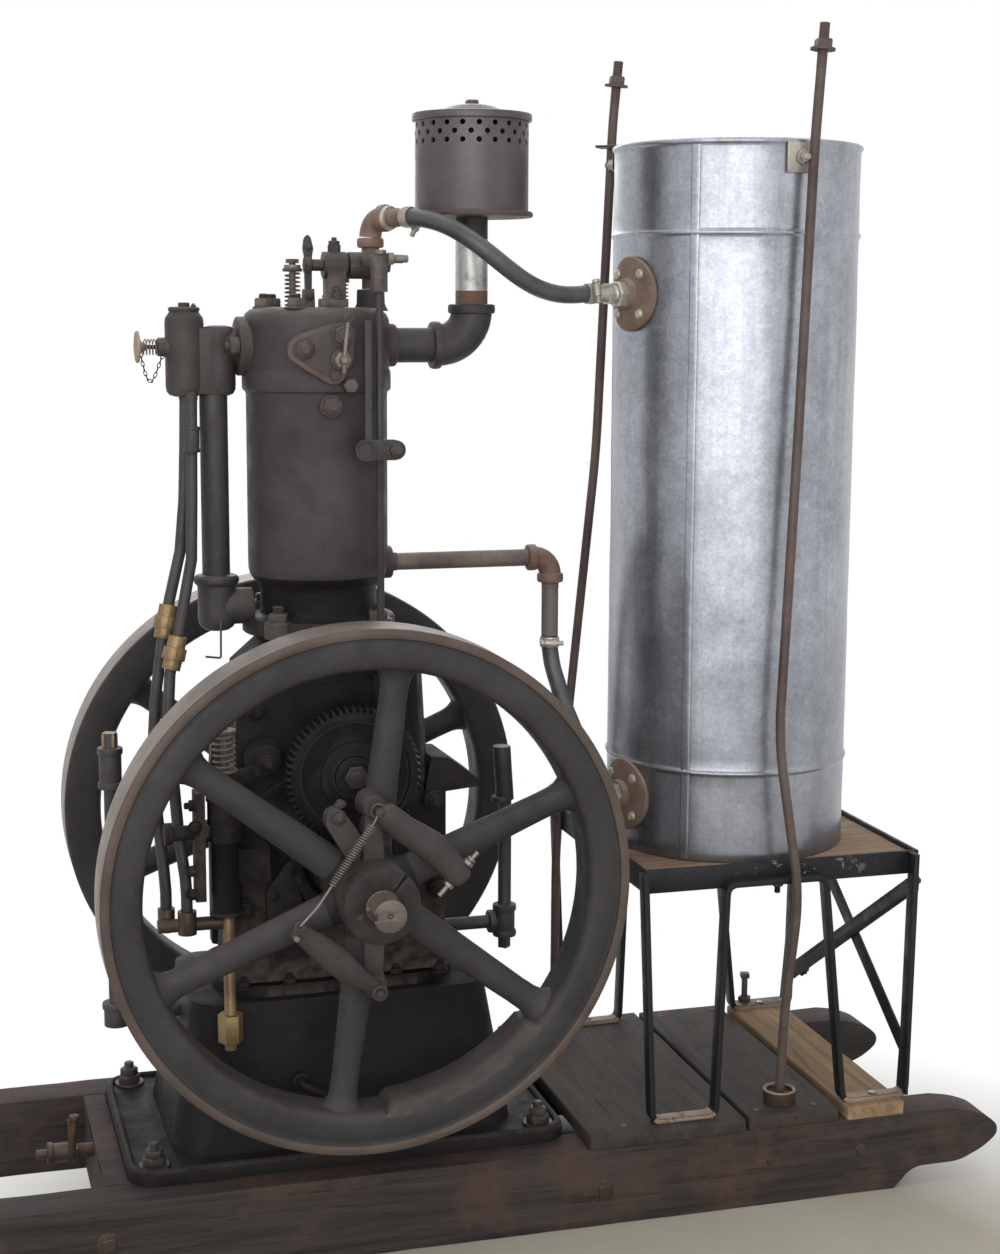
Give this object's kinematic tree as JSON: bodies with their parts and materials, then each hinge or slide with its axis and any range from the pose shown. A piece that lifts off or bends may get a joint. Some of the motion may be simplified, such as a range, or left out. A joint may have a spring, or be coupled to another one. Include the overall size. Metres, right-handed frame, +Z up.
{
  "type": "vertical stationary engine",
  "caption": "Upright hopperless stationary engine with open flywheels, governor weights, muffler and a tall cooling tank on a strap-iron stand, on a timber skid.",
  "frame": {"origin": "on the ground under the centre of the skid", "axes": "+X along the skid from the engine to the tank, +Y along the crankshaft away from the governor side, +Z up"},
  "size_m": [1.5, 0.7, 1.4695],
  "materials": {
    "timber": "oily, worn reddish-brown timber",
    "plank": "dark weathered grey-brown boards",
    "fresh_wood": "fresh, oil-spotted strip",
    "iron_dark": "oily dark cast iron",
    "iron_painted": "dark cast iron with traces of old red paint",
    "iron_wheel": "dark grey cast iron, lighter on the treads",
    "iron_rusty": "rusty malleable iron fittings",
    "steel_worn": "worn brownish steel",
    "brass": "dull brass",
    "hose_rubber": "dark grey rubber",
    "zinc": "mottled galvanised sheet",
    "rod_rusty": "brown rusted rod",
    "stand_black": "chipped black paint",
    "board": "tan, rust-stained board"
  },
  "bodies": {
    "frame": {"skid_rail_near": "timber", "skid_rail_far": "timber", "cross_timbers": "timber", "deck_planks": "plank", "foot_strip": "fresh_wood", "engine_base": "iron_dark", "base_bolts": "iron_dark", "crankcase": "iron_dark", "cylinder_body": "iron_painted", "igniter": "iron_dark", "mixer": "iron_dark", "intake_pipe": "iron_dark", "fuel_pipes": "iron_dark", "fuel_unions": "brass", "fuel_pump": "iron_dark", "rocker_bracket": "iron_dark", "valve_springs": "steel_worn", "exhaust_pipe": "iron_dark", "muffler_body": "iron_painted", "muffler_lid": "iron_painted", "water_pipes": "iron_rusty", "upper_hose": "hose_rubber", "lower_hose": "hose_rubber", "hose_clamps": "zinc", "tank_shell": "zinc", "tank_bottom": "zinc", "tank_flanges": "iron_rusty", "tank_brackets": "zinc", "hold_down_rods": "rod_rusty", "stand_tray": "stand_black", "tray_board": "board", "stand_legs": "stand_black", "oil_pipes": "iron_dark", "drain_cock": "iron_rusty"},
    "crank": {"crankshaft": "steel_worn", "near_flywheel": "iron_wheel", "far_flywheel": "iron_wheel"},
    "cam_gear": {"cam_gear": "iron_dark"},
    "governor_a": {"governor_weight_a": "iron_dark"},
    "governor_b": {"governor_weight_b": "iron_dark"},
    "push_rod": {"push_rod": "steel_worn"},
    "rocker": {"rocker_arm": "iron_dark"},
    "exhaust_valve": {"exhaust_valve": "steel_worn"},
    "intake_valve": {"intake_valve": "steel_worn"},
    "priming_knob": {"priming_knob": "steel_worn"}
  },
  "joints": [
    {"name": "crank_spin", "type": "hinge", "parent": "frame", "child": "crank", "pos_m": [-0.1, 0, 0.462], "axis": [0, 1, 0], "continuous": true},
    {"name": "cam_spin", "type": "hinge", "parent": "frame", "child": "cam_gear", "pos_m": [-0.1, -0.164, 0.579], "axis": [0, 1, 0], "continuous": true},
    {"name": "governor_a_swing", "type": "hinge", "parent": "crank", "child": "governor_a", "pos_m": [-0.1, -0.289, 0.566], "axis": [0, -1, 0], "range_deg": [0, 12], "stiffness_Nm_per_rad": 6, "springref_deg": -5.73},
    {"name": "governor_b_swing", "type": "hinge", "parent": "crank", "child": "governor_b", "pos_m": [-0.1, -0.289, 0.358], "axis": [0, -1, 0], "range_deg": [0, 12], "stiffness_Nm_per_rad": 6, "springref_deg": -5.73},
    {"name": "push_rod_lift", "type": "slide", "parent": "frame", "child": "push_rod", "axis": [0, 0, 1], "range_m": [0, 0.008]},
    {"name": "rocker_swing", "type": "hinge", "parent": "frame", "child": "rocker", "pos_m": [-0.05, 0, 1.167], "axis": [-1, 0, 0], "range_deg": [0, 5.2]},
    {"name": "exhaust_valve_lift", "type": "slide", "parent": "frame", "child": "exhaust_valve", "axis": [0, 0, -1], "range_m": [0, 0.005], "deforming": ["valve_springs"]},
    {"name": "intake_valve_lift", "type": "slide", "parent": "frame", "child": "intake_valve", "axis": [0, 0, -1], "range_m": [0, 0.006], "stiffness_N_per_m": 900, "springref_m": -0.004, "deforming": ["valve_springs"]},
    {"name": "priming_knob_push", "type": "slide", "parent": "frame", "child": "priming_knob", "axis": [1, 0, 0], "range_m": [0, 0.008], "stiffness_N_per_m": 300, "springref_m": -0.004}
  ],
  "couplings": [
    {"joint": "cam_spin", "follows": "crank_spin", "ratio": -0.5},
    {"joint": "rocker_swing", "follows": "push_rod_lift", "rad_per_m": 10.8},
    {"joint": "exhaust_valve_lift", "follows": "push_rod_lift", "ratio": 0.488}
  ]
}
